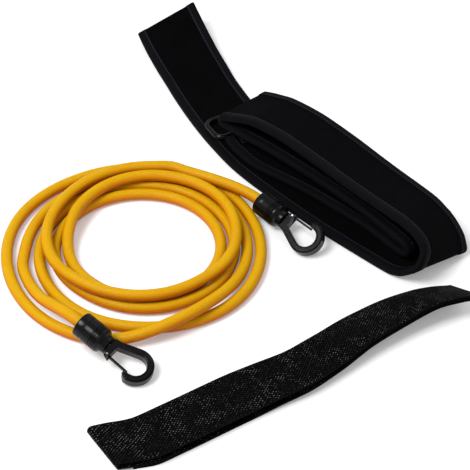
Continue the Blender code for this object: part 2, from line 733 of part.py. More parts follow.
def build_hook_patch(material, parent):
    """The patch of hooks under the tail's end, which closes the belt on its own looped face."""
    stations = stations_along(belt_rows(), BELT_STEPS_PER_ROW)
    middles = np.array([station[0] for station in stations])
    run = np.concatenate([[0], np.cumsum(np.linalg.norm(np.diff(middles, axis=0), axis=1))])
    inset = BINDING_WIDTH + FIT
    picked = [station for station, along in zip(stations, run) if inset / 2 < along < HOOK_PATCH_LENGTH]
    half = BELT_WIDTH / 2 - inset
    out = -(BELT_CORE / 2 + 2 * FIT + HOOK_PATCH_THICKNESS / 2)
    swept("belt_hook_patch", picked, [(-half, out), (half, out)], HOOK_PATCH_THICKNESS, material, parent)


def rounded_rectangle(length, width, corner, steps):
    points = []
    for quarter, (sign_x, sign_y) in enumerate(((1, 1), (-1, 1), (-1, -1), (1, -1))):
        middle = (sign_x * (length / 2 - corner), sign_y * (width / 2 - corner))
        start = quarter * math.pi / 2
        points += arc(middle, corner, start, start + math.pi / 2, steps)
    return points


def build_ring(materials, parent):
    """The ring lies on the tail. Its held bar, the hinge, is in the keeper."""
    rod = RING_ROD / 2
    spread = RING_SLOT_WIDTH + RING_ROD
    free_height = BELT_THICKNESS + FIT + rod
    bar = ring_bar_middle()
    drop = math.degrees(math.asin((bar[2] - free_height) / spread))
    hinge = new_empty("belt_ring_hinge", parent, tuple(bar), (0, 0, RING_TURN - 90))
    tilt = new_empty("belt_ring_tilt", hinge, turn=(0, -drop, 0))
    outline = rounded_rectangle(spread, RING_SLOT_LENGTH + RING_ROD, RING_CORNER, 5)
    line = [(x - spread / 2, y, 0) for x, y in outline]
    curve_of("belt_ring", line, materials["coated"], tilt, rod, 2, cyclic=True)
    reach = RING_ROD / 2 + FIT + KEEPER_WEBBING / 2
    flap = BELT_CORE / 2 + FIT + KEEPER_WEBBING / 2
    turn_steps = 8
    wrap = [(reach * math.sin(a), reach * math.cos(a)) for a in np.linspace(0, -math.pi, turn_steps + 1)]
    neck = reach + KEEPER_WEBBING
    path = [(KEEPER_FLAP, flap), (neck, flap), *wrap, (neck, -flap), (KEEPER_FLAP, -flap)]
    stations = [
        (np.array([x, 0, z]), np.array([0, 1, 0]), unit(np.cross((dx, 0, dz), (0, 1, 0))))
        for (x, z), (dx, dz) in zip(path, np.gradient(np.array(path), axis=0))
    ]
    keeper = new_empty("belt_keeper_place", parent, tuple(bar), (0, 0, RING_TURN - 90))
    half = KEEPER_WIDTH / 2
    swept("belt_ring_keeper", stations, [(-half, 0), (half, 0)], KEEPER_WEBBING, materials["binding"], keeper)


def strap_rows():
    """The strap's middle line in its own frame, from the lap's inner end along the lower run to the far end,
    back along the upper run and round the near end to the lap's outer end."""
    under = STRAP_THICKNESS / 2
    over = under + STRAP_THICKNESS + STRAP_HOLLOW
    lap = under + STRAP_THICKNESS + FIT
    half = STRAP_WIDTH / 2
    shape = [
        (0.04, -0.25, 0, 1.0), (0.11, -0.70, 0, 1.0), (0.22, -0.68, 0, 1.0), (0.33, -0.64, 0, 1.0),
        (0.42, -0.70, 3, 0.9), (0.50, -0.80, 6, 0.8), (0.595, -0.55, 9, 0.65), (0.71, -0.15, 16, 0.5),
        (0.81, -0.03, 20, 0.35), (0.89, -0.17, 26, 0.25), (0.95, -0.55, 28, 0.2), (0.99, -0.95, 30, 0.15),
    ]
    lower = [
        (along * STRAP_LENGTH, aside * STRAP_BOW, under + half * math.sin(math.radians(fall)), 90, fall)
        for along, aside, fall, hollow in shape
    ]
    upper = [
        (x, y, z + STRAP_THICKNESS + hollow * STRAP_HOLLOW, plan, fall)
        for (x, y, z, plan, fall), (*rest, hollow) in reversed(list(zip(lower, shape)))
    ]
    far_x, far_y, far_z, plan, fall = lower[-1]
    far_turn = [(far_x + STRAP_THICKNESS, far_y, (far_z + upper[0][2]) / 2, plan, fall)]
    turn = STRAP_HOLLOW / 2 + STRAP_THICKNESS / 2
    near_turn = [(turn / 2, 0, over, 94, 0), (0, 0, (over + lap) / 2, 94, 0), (turn / 2, 0, lap, 94, 0)]
    lap_end = [(x, y, lap, 90, 0) for x, y, z, plan, fall in lower[:2]] + [(STRAP_LAP, lower[2][1], lap, 90, 0)]
    return lower, far_turn, upper, near_turn, lap_end


def build_strap(material, parent):
    lower, far_turn, upper, near_turn, lap_end = strap_rows()
    stations = stations_along(lower + far_turn + upper + near_turn + lap_end, STRAP_STEPS_PER_ROW)
    half = STRAP_WIDTH / 2
    swept("strap_loop", stations, [(-half, 0), (half, 0)], STRAP_THICKNESS, material, parent)


def centre_on_surface(root, left_out):
    """Moves the root so that the origin lies below the middle of every piece not left out."""
    bpy.context.view_layer.update()
    graph = bpy.context.evaluated_depsgraph_get()
    corners = []
    for piece in parts.objects:
        if piece.type == "EMPTY" or piece.name in left_out:
            continue
        shown = piece.evaluated_get(graph)
        mesh = shown.to_mesh()
        corners += [shown.matrix_world @ corner.co for corner in mesh.vertices]
        shown.to_mesh_clear()
    for axis in (0, 1):
        reach = [corner[axis] for corner in corners]
        root.location[axis] = -(min(reach) + max(reach)) / 2
    bpy.context.view_layer.update()


clear_scene()
parts = new_collection("swim_tether")
cutters = new_collection("swim_tether_cutters", hidden=True)
materials = {
    "latex": new_material("latex", (0.70, 0.32, 0.01), 0.35),
    "plastic": new_material("black_plastic", (0.012, 0.012, 0.014), 0.28),
    "steel": new_material("steel", (0.55, 0.56, 0.58), 0.3, 1.0),
    "coated": new_material("coated_steel", (0.020, 0.020, 0.022), 0.35),
    "belt": new_material("belt_face", (0.010, 0.010, 0.016), 0.9),
    "pad": new_material("belt_pad", (0.014, 0.014, 0.018), 0.95),
    "binding": new_material("binding", (0.016, 0.016, 0.024), 0.7),
    "webbing": new_material("webbing", (0.012, 0.012, 0.013), 0.8),
}
tether = new_empty("tether")
build_tube(materials["latex"], tether)
for name in FITTINGS:
    build_fitting(name, materials, tether)
belt = new_empty("belt", tether, (*BELT_PLACE, 0), (0, 0, BELT_TURN))
build_belt(materials, belt)
build_hook_patch(materials["binding"], belt)
build_ring(materials, belt)
strap = new_empty("anchor_strap", tether, (*STRAP_PLACE, 0), (0, 0, STRAP_TURN))
build_strap(materials["webbing"], strap)
centre_on_surface(tether, ("tube_coil", "tube_near_lead", "tube_far_lead"))
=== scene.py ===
"""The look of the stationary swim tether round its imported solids.

One latex tube runs through the loose coil from sleeve to sleeve. The folded belt, its tapes, the ring's
keeper and the anchor strap are swept along their own lines, the ring is a bent wire, the sleeves are turned,
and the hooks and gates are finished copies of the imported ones. Metres, +Z up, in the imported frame.
"""

import json
import math

import bmesh
import bpy
import numpy as np
from mathutils import Euler, Matrix, Vector


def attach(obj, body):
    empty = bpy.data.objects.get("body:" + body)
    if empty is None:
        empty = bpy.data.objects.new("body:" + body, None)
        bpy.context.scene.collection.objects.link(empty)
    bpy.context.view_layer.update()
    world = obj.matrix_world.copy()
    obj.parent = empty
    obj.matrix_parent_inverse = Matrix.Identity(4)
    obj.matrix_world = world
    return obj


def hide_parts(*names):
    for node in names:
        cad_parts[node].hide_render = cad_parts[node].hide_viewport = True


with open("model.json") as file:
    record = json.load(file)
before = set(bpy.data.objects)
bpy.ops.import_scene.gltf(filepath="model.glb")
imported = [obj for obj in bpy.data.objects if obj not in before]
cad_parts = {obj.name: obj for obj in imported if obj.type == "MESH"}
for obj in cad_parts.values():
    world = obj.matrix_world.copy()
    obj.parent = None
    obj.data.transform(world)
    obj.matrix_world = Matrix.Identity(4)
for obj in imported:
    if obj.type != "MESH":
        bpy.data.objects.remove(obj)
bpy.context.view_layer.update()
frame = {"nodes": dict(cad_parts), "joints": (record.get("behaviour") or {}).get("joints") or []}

FIT = 0.0003
WELD = 0.000002

# The tube's coil, as the part's source winds it: degrees clockwise from the left, lane out, layer up
TUBE_DIAMETER = 0.009
COIL_CENTRE = (-0.068, -0.020)
COIL_INNER_RADIUS = 0.058
LANE_PITCH = 0.0097
LAYER_LIFT = 0.0096
TURNS = [
    (0, 3.52, 0), (31, 3.3, 0), (60, 2.78, 0), (90, 2.42, 0), (135, 2.15, 0), (158, 2.03, 0), (180, 2.0, 0),
    (200, 2.03, 0.15), (222, 2.25, 0.85), (238, 2.55, 1.12), (252, 2.95, 1.08), (264, 3.35, 0.75),
    (275, 3.8, 0.25), (288, 4.2, 0), (315, 4.7, 0), (345, 4.9, 0),
    (360, 4.98, 0), (378, 5.0, 0), (396, 4.6, 0), (415, 4.1, 0), (450, 3.5, 0), (495, 3.16, 0),
    (515, 3.03, 0), (532, 3.06, 0), (560, 3.15, 0), (576, 3.15, 0), (592, 2.95, 0), (605, 2.72, 0),
    (621, 2.5, 0), (636, 2.4, 0), (659, 2.4, 0), (673, 2.4, 0), (700, 2.42, 0),
    (720, 2.4, 0), (750, 2.1, 0), (810, 1.4, 0), (855, 1.12, 0), (900, 1.0, 0), (937, 0.88, 0),
    (957, 0.66, 0), (990, 0.46, 0), (1013, 0.42, 0), (1035, 0.55, 0), (1060, 1.05, 0),
    (1080, 1.26, 0), (1125, 0.92, 0), (1170, 0.38, 0), (1215, 0.1, 0), (1240, 0, 0), (1260, -0.05, 0),
    (1300, -0.3, 0), (1350, -0.6, 0), (1395, -0.5, 0), (1427, 0, 0),
    (1440, 0.18, 0.25), (1455, 0.35, 0.75), (1470, 0.6, 1.05), (1489, 1.0, 1), (1505, 1.35, 1),
    (1530, 1.65, 1), (1574, 1.68, 1), (1591, 1.5, 1), (1613, 1.2, 1), (1629, 1.0, 1), (1648, 0.6, 1),
    (1665, 0.2, 1), (1686, 0.08, 1), (1708, 0.05, 1), (1734, 0.2, 1), (1759, 0.7, 1), (1779, 1.35, 1),
    (1800, 1.8, 1), (1813, 2.0, 1), (1831, 2.22, 1), (1846, 2.42, 1), (1861, 2.6, 1), (1874, 2.67, 1),
    (1890, 2.7, 1),
]
NEAR_LEAD_ROUTE = [(-0.1300, -0.0938, 0.0183), (-0.1430, -0.0780, 0.0115), (-0.1545, -0.0570, 0.0065)]
FAR_LEAD_ROUTE = [(-0.0434, 0.0605, 0.0141), (-0.0234, 0.0514, 0.0144), (-0.0043, 0.0417, 0.0146)]

# How finely the lines are drawn: degrees and points averaged over, the spacing, and steps between places
COIL_SOFTENING = 20
TUBE_SOFTENING = 4
TUBE_SPACING = TUBE_DIAMETER / 3
LEAD_STEPS = 12
BAND_STEPS = 6

# The fittings: the middle of each sleeve's mouth, then roll, tilt and turn in degrees
FITTINGS = {
    "near": {"mouth": (-0.1104, -0.1129, 0.0212), "turn": (6, 15.2, -37)},
    "far": {"mouth": (0.0202, 0.0243, 0.0126), "turn": (210, 3, -47.5)},
}
INNER_NODES = {"tube_end": "latex", "plug": "plastic", "swivel_stem": "steel", "gate_pin": "steel"}

# The sleeve: lengths from its mouth, and its marks as (along, depth below the sleeve's radius)
SLEEVE_LENGTH = 0.0270
SLEEVE_RADIUS = 0.0098
SLEEVE_NOSE_RADIUS = 0.0066
SLEEVE_LIP = 0.0030
SLEEVE_LIP_RADIUS = 0.0048
SLEEVE_CHAMBER_RADIUS = 0.0062
SLEEVE_FRONT_WALL = 0.0060
SLEEVE_STEM_RADIUS = 0.0023
SLEEVE_FACETS = 64
TAPER_START = 0.72 * SLEEVE_LENGTH
TAPER_SHARES = (0.75, 0.5, 0.25, 0.08)
NOSE_START = 0.86 * SLEEVE_LENGTH
SHOULDER = 0.0007
RIM = [(0.0012, 0), (0.0006, 0.00015), (0.0002, 0.0005), (0, 0.0011)]
BAND = [(0.0075, 0), (0.0072, 0.0003), (0.0066, 0.0003), (0.0063, 0)]
GROOVE = [(0, 0), (-0.0003, 0.0008), (-0.0008, 0.0008), (-0.0011, 0)]
GROOVE_COUNT = 3
GROOVE_PITCH = 0.0019
GROOVE_MARGIN = 0.0004
PLATE_START = 0.0081
PLATE_END = 0.0134
PLATE_HALF_ANGLE = math.radians(17)
PLATE_RISE = 0.0003
PLATE_SLOPE = 0.00012

# The hook's flat sides: where the bar leaves the base, then the insets as (width, drop) and (width, rise)
BAR_START = 0.0352
BAR_ON_CUT = BAR_START + 0.00001
BAR_ROUNDED = BAR_START + 0.0005
BAR_SIDE_HEIGHT = 0.0031
BAR_SHORT_EDGE = 0.0002
BAR_EDGE = ((0.00022, 0.00050), (0.00032, 0.00014))
BAR_GROOVE = ((0.00012, -0.0006), (0.00040, 0), (0.00012, 0.0005))

# The belt
BELT_PLACE = (-0.0272, 0.0910)
BELT_TURN = -43
BELT_WIDTH = 0.057
BELT_THICKNESS = 0.0057
BELT_CROWN = 0.00035
LAYER_THICKNESS = 0.0018
ROLL_LENGTH = 0.220
ROLL_HEIGHT = 0.0355
INNER_FOLD_HEIGHT = 0.0205
TAIL_RISE = 0.0120
HOOK_PATCH_LENGTH = 0.060
HOOK_PATCH_THICKNESS = 0.0010

# The tape round the belt's long edges: its selvedge as (across, below the tape's level), and its seams
BINDING_THICKNESS = 0.0006
BINDING_WIDTH = 0.0080
BINDING_CORNER = 0.0019
BINDING_SELVEDGE = [(0, 0.00025), (0.0012, 0), (0.0035, 0)]
BINDING_HALF_LAP = 0.00946
SEAM_INSET = 0.0014
STITCH_PITCH = 0.0032

# The ring and its keeper
RING_ROD = 0.0045
RING_SLOT_LENGTH = 0.060
RING_SLOT_WIDTH = 0.0205
RING_CORNER = 0.0070
RING_TURN = 72
RING_MIDDLE = (0.00011, 0.05261)
KEEPER_WEBBING = 0.0012
KEEPER_WIDTH = 0.0395
KEEPER_FLAP = 0.018
KEEPER_FLARE = 0.004
KEEPER_RADIUS = RING_ROD / 2 + FIT + KEEPER_WEBBING

# The anchor strap
STRAP_PLACE = (-0.0897, -0.2146)
STRAP_TURN = 31
STRAP_WIDTH = 0.038
STRAP_THICKNESS = 0.0018
STRAP_LENGTH = 0.297
STRAP_HOLLOW = 0.0062
STRAP_LAP = 0.045
STRAP_BOW = 0.012

# The studio, with each lamp as (name, place, size, power)
FLOOR_HALF_WIDTH = 6
FLOOR_DROP = 0.0002
FLOOR_GLOW = 0.20
BACKDROP_LIGHT = 0.55
LAMPS = [("key", (-0.9, -0.5, 1.7), 0.8, 30), ("fill", (1.2, 0.9, 1.5), 1.4, 4)]

# The photograph's camera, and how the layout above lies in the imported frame
CAMERA_ELEVATION = math.radians(44)
CAMERA_DISTANCE = 1.250
CAMERA_LENS = 123.54
CAMERA_SENSOR = 36
TOWARDS_CAMERA = Vector((0, -math.cos(CAMERA_ELEVATION), math.sin(CAMERA_ELEVATION)))
swivel = next(joint for joint in frame["joints"] if joint["name"] == "near_swivel")
shift = Vector(swivel["pos_m"]) - Vector(FITTINGS["near"]["mouth"])


class Socket:
    """A node's output that takes part in arithmetic as a number does, adding the Math nodes for it."""

    def __init__(self, finish, output):
        self.finish = finish
        self.output = output

    def maths(self, operation, *values):
        return self.finish.node("ShaderNodeMath", {"operation": operation}, *values)

    def __add__(self, other):
        return self.maths("ADD", self, other)

    def __sub__(self, other):
        return self.maths("SUBTRACT", self, other)

    def __rsub__(self, other):
        return self.maths("SUBTRACT", other, self)

    def __mul__(self, other):
        return self.maths("MULTIPLY", self, other)

    def __abs__(self):
        return self.maths("ABSOLUTE", self)

    __radd__ = __add__
    __rmul__ = __mul__

    def wave(self, pitch):
        """A sine of the value, one period to each pitch, between -1 and 1."""
        return self.maths("SINE", self * (2 * math.pi / pitch))

    def between(self, low, high):
        """0 below low, 1 above high, smooth from one to the other."""
        return self.finish.node("ShaderNodeMapRange", {"interpolation_type": "SMOOTHSTEP"}, self, low, high)


class Finish:
    """The look of a material or of the world: its shader, and the nodes that vary it over a surface."""

    def __init__(self, owner, shader, **fixed):
        owner.use_nodes = True
        self.owner = owner
        self.nodes = owner.node_tree.nodes
        self.links = owner.node_tree.links
        self.shader = self.nodes[shader]
        for name, value in fixed.items():
            self.set(name.replace("_", " ").title().replace("Ior", "IOR"), value)

    def put(self, socket, value):
        if isinstance(value, Socket):
            self.links.new(value.output, socket)
        elif socket.type == "RGBA":
            socket.default_value = (*value, 1)
        else:
            socket.default_value = value

    def set(self, name, value):
        self.put(self.shader.inputs[name], value)

    def node(self, kind, settings, *values, output=None, **named):
        """A new node's output: settings first, then values for its sockets in use, in order or by name."""
        made = self.nodes.new(kind)
        for key, value in settings.items():
            setattr(made, key, value)
        for socket, value in zip([socket for socket in made.inputs if socket.enabled], values):
            self.put(socket, value)
        for name, value in named.items():
            self.put(made.inputs[name], value)
        found = made.outputs[output] if output else next(one for one in made.outputs if one.enabled)
        return Socket(self, found)

    def mix(self, factor, first, second):
        return self.node("ShaderNodeMix", {"data_type": "RGBA"}, factor, first, second)

    def split(self, vector):
        """A vector's three numbers."""
        first = self.node("ShaderNodeSeparateXYZ", {}, vector)
        return [Socket(self, output) for output in first.output.node.outputs]

    def place(self):
        return self.node("ShaderNodeTexCoord", {}, output="Object")

    def strip(self):
        """Metres along a swept piece, and metres across it."""
        return self.split(self.node("ShaderNodeUVMap", {"uv_map": "strip"}))[:2]

    def noise(self, scale, detail=2, roughness=0.5):
        return self.node(
            "ShaderNodeTexNoise", {}, Vector=self.place(), Scale=scale, Detail=detail, Roughness=roughness
        )

    def bump(self, height, distance, strength):
        facing = self.node("ShaderNodeBump", {}, Height=height, Distance=distance, Strength=strength)
        self.set("Normal", facing)


def surface(name, colour, roughness, **fixed):
    material = bpy.data.materials.new(name)
    return Finish(material, "Principled BSDF", base_color=colour, roughness=roughness, **fixed)


def latex_finish():
    """Amber latex: paler amber where the surface faces up and deeper amber where it faces down, painted light
    and shade, and the faint clouds left by dipping.
    """
    finish = surface(
        "amber_latex", (0.62, 0.36, 0.003), 0.45, ior=1.50, specular_ior_level=0.10, subsurface_weight=0.45,
        subsurface_radius=(1.0, 0.32, 0.05), subsurface_scale=0.005,
    )
    upwards = finish.split(finish.node("ShaderNodeNewGeometry", {}, output="Normal"))[2]
    cloud = finish.noise(scale=38, detail=3)
    grain = finish.noise(scale=900)
    # Painted light and shade: paler amber on faces turned up towards the lamps, deeper amber on faces turned
    # down.
    amber = finish.mix(upwards.between(-0.2, 1.0), (0.55, 0.130, 0.0006), (0.64, 0.355, 0.0014))
    amber = finish.mix(0.35 * cloud.between(0.35, 0.75), amber, (0.60, 0.26, 0.0008))
    finish.set("Base Color", finish.mix(0.06 * grain.between(0.55, 0.8), amber, (0.78, 0.56, 0.03)))
    finish.set("Roughness", 0.36 + 0.14 * cloud + 0.10 * grain.between(0.45, 0.8))
    finish.bump(0.6 * cloud + 0.12 * grain, distance=0.0004, strength=0.35)
    return finish.owner


def plastic_finish():
    """Moulded black plastic with a fine spark grain, polished where hands and ropes rub it."""
    finish = surface("moulded_black", (0.003, 0.003, 0.0035), 0.20, ior=1.50, specular_ior_level=0.20)
    grain = finish.noise(scale=2600)
    rubbed = finish.noise(scale=160, detail=3)
    shade = 0.6 * rubbed.between(0.5, 0.8)
    finish.set("Base Color", finish.mix(shade, (0.0016, 0.0016, 0.0019), (0.0050, 0.0050, 0.0056)))
    finish.set("Roughness", 0.13 + 0.12 * rubbed + 0.05 * grain)
    finish.bump(grain, distance=0.0001, strength=0.25)
    return finish.owner


def steel_finish():
    """Bare steel with fine marks on it."""
    finish = surface("turned_steel", (0.50, 0.51, 0.53), 0.28, metallic=1.0)
    marks = finish.noise(scale=1400, detail=4)
    finish.set("Base Color", finish.mix(marks, (0.42, 0.43, 0.45), (0.58, 0.59, 0.60)))
    finish.set("Roughness", 0.20 + 0.22 * marks)
    finish.bump(marks, distance=0.0001, strength=0.15)
    return finish.owner


def coated_finish():
    """Black-coated steel wire, rubbed paler and duller in spots."""
    finish = surface("coated_wire", (0.003, 0.003, 0.0035), 0.16, ior=1.5, specular_ior_level=0.20)
    wear = finish.noise(scale=240, detail=4)
    worn = wear.between(0.62, 0.74)
    finish.set("Base Color", finish.mix(worn, (0.002, 0.002, 0.0024), (0.012, 0.012, 0.013)))
    finish.set("Roughness", 0.08 + 0.10 * wear)
    finish.bump(wear, distance=0.0001, strength=0.2)
    return finish.owner


def pile_finish():
    """The belt's outer face: short brushed loops, with the lie of the pile in soft patches and pale fuzz
    specks as painted highlights.
    """
    finish = surface("brushed_loops", (0.002, 0.002, 0.0025), 0.92, specular_ior_level=0.02)
    loops = finish.node("ShaderNodeTexVoronoi", {"feature": "F1"}, Vector=finish.place(), Scale=1300)
    fuzz_and_glints = finish.noise(scale=2400, detail=3, roughness=0.7)
    lie = finish.noise(scale=60, detail=3)
    along, across = finish.strip()
    rows = 0.5 + 0.5 * along.wave(0.0021) * across.wave(0.0017)
    dark = finish.mix(lie, (0.0010, 0.0010, 0.0013), (0.0024, 0.0024, 0.0028))
    # Painted highlights: pale specks on the fuzz where the fibres would catch the light.
    finish.set("Base Color", finish.mix(0.5 * fuzz_and_glints.between(0.55, 0.85), dark, (0.0085, 0.0085, 0.0095)))
    finish.bump(0.5 * (1 - loops) + 0.6 * fuzz_and_glints + 0.25 * rows, distance=0.0004, strength=0.75)
    return finish.owner


def lining_finish():
    """The knit that backs the belt's foam: fine wales along it."""
    finish = surface("knit_lining", (0.002, 0.002, 0.0025), 0.85, specular_ior_level=0.02)
    along, across = finish.strip()
    stitch = (0.5 + 0.5 * along.wave(0.0011)) * abs(across.wave(0.0018))
    patch = finish.noise(scale=90, detail=3)
    shade = 0.6 * stitch + 0.3 * patch
    finish.set("Base Color", finish.mix(shade, (0.0010, 0.0010, 0.0014), (0.0045, 0.0045, 0.0055)))
    finish.bump(stitch, distance=0.0003, strength=0.6)
    return finish.owner


def binding_finish():
    """Woven edge tape with a row of lock stitches beside each of its two long edges."""
    finish = surface("edge_tape", (0.003, 0.003, 0.004), 0.62, specular_ior_level=0.03)
    along, across = finish.strip()
    ribs = 0.5 + 0.5 * (along + 0.6 * across).wave(0.00105)
    cross = 0.5 + 0.5 * across.wave(0.0009)
    patch = finish.noise(scale=70, detail=3)
    from_edge = BINDING_HALF_LAP - abs(across - BINDING_HALF_LAP)
    seam = 1 - abs(from_edge - SEAM_INSET).between(0.0002, 0.0005)
    stitch = seam * abs(along.wave(2 * STITCH_PITCH)).between(0.35, 0.6)
    tape = finish.mix(0.5 * ribs + 0.4 * patch, (0.0018, 0.0018, 0.0025), (0.0060, 0.0060, 0.0082))
    finish.set("Base Color", finish.mix(stitch, tape, (0.026, 0.027, 0.038)))
    finish.set("Roughness", 0.55 + 0.2 * patch)
    finish.bump(0.35 * ribs + 0.2 * cross + 1.2 * stitch - 0.7 * seam, distance=0.0004, strength=0.7)
    return finish.owner


def webbing_finish():
    """Heavy plain-woven webbing, with painted highlights on some crowns of the weave, in patches."""
    finish = surface("plain_weave", (0.002, 0.002, 0.0025), 0.60, specular_ior_level=0.02)
    along, across = finish.strip()
    crowns = 0.5 + 0.5 * along.wave(0.0030) * across.wave(0.0023)
    yarn = finish.noise(scale=700, detail=3)
    lie = finish.noise(scale=75, detail=3)
    # Painted highlights: pale grey on some crowns of the weave, in patches.
    lit = crowns.between(0.76, 0.94) * yarn.between(0.47, 0.57) * (0.2 + lie.between(0.42, 0.64))
    ground = finish.mix(crowns, (0.0006, 0.0006, 0.0008), (0.0030, 0.0030, 0.0034))
    finish.set("Base Color", finish.mix(lit, ground, (0.170, 0.170, 0.176)))
    finish.set("Roughness", 0.45 + 0.25 * yarn)
    finish.bump(crowns + 0.2 * yarn, distance=0.0007, strength=0.9)
    return finish.owner


def hook_tape_finish():
    """The stiff hooks of the closing patch, in rows."""
    finish = surface("hook_tape", (0.012, 0.012, 0.013), 0.5)
    along, across = finish.strip()
    hooks = (0.5 + 0.5 * along.wave(0.0017)) * (0.5 + 0.5 * across.wave(0.0015))
    finish.set("Base Color", finish.mix(hooks, (0.006, 0.006, 0.007), (0.035, 0.035, 0.037)))
    finish.bump(hooks, distance=0.0008, strength=0.9)
    return finish.owner


def unit(vector):
    return np.array(vector, float) / np.linalg.norm(vector)


def arc(middle, radius, start, end, steps):
    angles = [start + (end - start) * i / steps for i in range(steps + 1)]
    return [(middle[0] + radius * math.cos(angle), middle[1] + radius * math.sin(angle)) for angle in angles]


def smooth_line(points, steps):
    """A line through the points that keeps each coordinate between its two given values."""
    given = np.array(points, float)
    rises = np.diff(given, axis=0)
    before, after = rises[:-1], rises[1:]
    same_way = before * after > 0
    shared = np.where(same_way, before + after, 1)
    slopes = np.vstack([rises[0], np.where(same_way, 2 * before * after / shared, 0), rises[-1]])
    line = []
    for start, rise, leave, arrive in zip(given, rises, slopes, slopes[1:]):
        square = 3 * rise - 2 * leave - arrive
        cube = leave + arrive - 2 * rise
        line += [start + leave * t + square * t**2 + cube * t**3 for t in np.arange(steps) / steps]
    return np.array([*line, given[-1]])


def run_along(line):
    """The distance from the line's start to each of its points."""
    return np.concatenate([[0], np.cumsum(np.linalg.norm(np.diff(line, axis=0), axis=1))])


def evenly_spaced(line, spacing):
    run = run_along(line)
    wanted = np.linspace(0, run[-1], max(2, round(run[-1] / spacing)) + 1)
    return np.stack([np.interp(wanted, run, values) for values in line.T], axis=1)


def softened(values, reach):
    """Values averaged over their neighbours within reach, with the ends kept."""
    window = np.hanning(2 * reach + 1)
    first = 2 * values[0] - values[reach:0:-1]
    last = 2 * values[-1] - values[-2:-2 - reach:-1]
    return np.convolve(np.concatenate([first, values, last]), window / window.sum(), "valid")


def coil_line():
    degrees, lanes, layers = np.array(TURNS, float).T
    each = np.arange(degrees[-1] + 1)
    lane = softened(np.interp(each, degrees, lanes), COIL_SOFTENING)
    layer = softened(np.interp(each, degrees, layers), COIL_SOFTENING)
    radius = COIL_INNER_RADIUS + LANE_PITCH * lane
    angle = np.radians(180 - each)
    x = COIL_CENTRE[0] + radius * np.cos(angle)
    y = COIL_CENTRE[1] + radius * np.sin(angle)
    return np.stack([x, y, TUBE_DIAMETER / 2 + LAYER_LIFT * layer.clip(0)], axis=1)


def fitting_matrix(side):
    """A fitting's own frame: its sleeve's mouth at the origin, and its hook along +X."""
    place = FITTINGS[side]
    turn = Euler([math.radians(angle) for angle in place["turn"]])
    return Matrix.Translation(shift + Vector(place["mouth"])) @ turn.to_matrix().to_4x4()


def lead_line(side, route, coil_end, last_step):
    """A lead from its sleeve's mouth, straight out at first, over its route to the coil's end."""
    matrix = fitting_matrix(side)
    back = -np.array(matrix.to_3x3() @ Vector((1, 0, 0)))
    first = np.array(matrix.translation - shift) + back * FIT / 2
    out = unit((last_step[0], last_step[1], 0))
    last = coil_end + out * (2 * TUBE_DIAMETER + FIT)
    return np.vstack([first, smooth_line([first + back * TUBE_DIAMETER, *route, last], LEAD_STEPS)])


def tube_line():
    """The tube's middle line from the near sleeve's mouth to the far one's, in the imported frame."""
    coil = coil_line()
    near = lead_line("near", NEAR_LEAD_ROUTE, coil[0], coil[0] - coil[1])
    far = lead_line("far", FAR_LEAD_ROUTE[::-1], coil[-1], coil[-1] - coil[-2])
    line = evenly_spaced(np.vstack([near, coil, far[::-1]]), TUBE_SPACING)
    return np.stack([softened(values, TUBE_SOFTENING) for values in line.T], axis=1) + np.array(shift)


def new_piece(name, data, material, body, slot, *replaced):
    made = bpy.data.objects.new(name, data)
    bpy.context.scene.collection.objects.link(made)
    data.materials.clear()
    data.materials.append(material)
    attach(made, body)
    if replaced:
        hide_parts(*replaced)
    return made


def mesh_from(name, bm, sharp_degrees=40):
    mesh = bpy.data.meshes.new(name)
    bm.to_mesh(mesh)
    bm.free()
    mesh.shade_smooth()
    mesh.set_sharp_from_angle(angle=math.radians(sharp_degrees))
    return mesh


def round_edges(piece, width, sharp_degrees):
    soft = piece.modifiers.new("Soft edges", "BEVEL")
    soft.width = width
    soft.segments = 2
    soft.limit_method = "ANGLE"
    soft.angle_limit = math.radians(sharp_degrees)


def keep_flats(piece):
    piece.modifiers.new("Flat faces", "WEIGHTED_NORMAL").keep_sharp = True


def round_wire(name, line, diameter, resolution, closed=False):
    curve = bpy.data.curves.new(name, "CURVE")
    curve.dimensions = "3D"
    curve.bevel_depth = diameter / 2
    curve.bevel_resolution = resolution
    curve.use_fill_caps = not closed
    spline = curve.splines.new("POLY")
    spline.points.add(len(line) - 1)
    for place, point in zip(line, spline.points):
        point.co = (*place, 1)
    spline.use_cyclic_u = closed
    spline.use_smooth = True
    return curve


def build_tube(material):
    line = tube_line()
    curve = round_wire("latex_tube", line, TUBE_DIAMETER, 7)
    tube = new_piece(
        "latex_tube", curve, material, "tether", "latex", "tube_coil", "tube_near_lead", "tube_far_lead"
    )


def station_run(stations):
    return run_along(np.array([middle for middle, across, out in stations]))


def swept(name, stations, section, thickness, material, body, slot, node):
    """A sheet swept along the stations, its section as (across, out), half its thickness either side."""
    run = station_run(stations)
    section_run = run_along(np.array(section, float))
    long_cells = len(stations) - 1
    cross_cells = len(section) - 1
    bm = bmesh.new()
    bmesh.ops.create_grid(bm, x_segments=long_cells, y_segments=cross_cells, size=0.5)
    strip = bm.loops.layers.uv.new("strip")
    for face in bm.faces:
        for loop in face.loops:
            along = round((loop.vert.co.x + 0.5) * long_cells)
            across = round((loop.vert.co.y + 0.5) * cross_cells)
            loop[strip].uv = (run[along], section_run[across])
    for corner in bm.verts:
        middle, across, out = stations[round((corner.co.x + 0.5) * long_cells)]
        offset = section[round((corner.co.y + 0.5) * cross_cells)]
        corner.co = Vector(middle + across * offset[0] + out * offset[1])
    bmesh.ops.recalc_face_normals(bm, faces=bm.faces)
    piece = new_piece(name, mesh_from(name, bm, sharp_degrees=80), material, body, slot, node)
    wall = piece.modifiers.new("Thickness", "SOLIDIFY")
    wall.thickness = thickness
    wall.offset = 0
    return piece


def level_section(width, cells, out=0):
    return [(across, out) for across in np.linspace(-width / 2, width / 2, cells + 1)]


